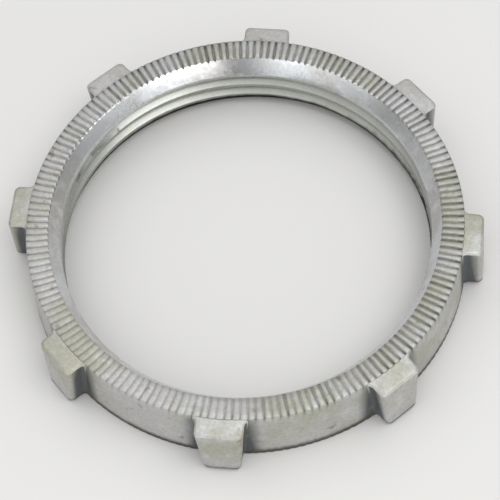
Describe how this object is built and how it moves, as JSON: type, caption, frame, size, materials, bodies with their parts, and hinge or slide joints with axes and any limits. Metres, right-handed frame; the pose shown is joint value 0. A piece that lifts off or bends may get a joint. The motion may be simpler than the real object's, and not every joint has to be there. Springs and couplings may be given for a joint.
{
  "type": "conduit locknut",
  "caption": "Cast ring nut with a threaded bore, radial teeth on both faces and driving lugs round its wall, for fastening conduit to a box.",
  "frame": {"origin": "on the thread's axis, in the plane of the bottom toothed face", "axes": "+Z along the thread's axis, from the bottom toothed face to the top one; +X through the middle of one lug"},
  "size_m": [0.089, 0.089, 0.0135],
  "materials": {
    "cast_zinc": "matt as cast, machined in the bore"
  },
  "bodies": {
    "root": {"locknut": "cast_zinc"}
  },
  "joints": []
}
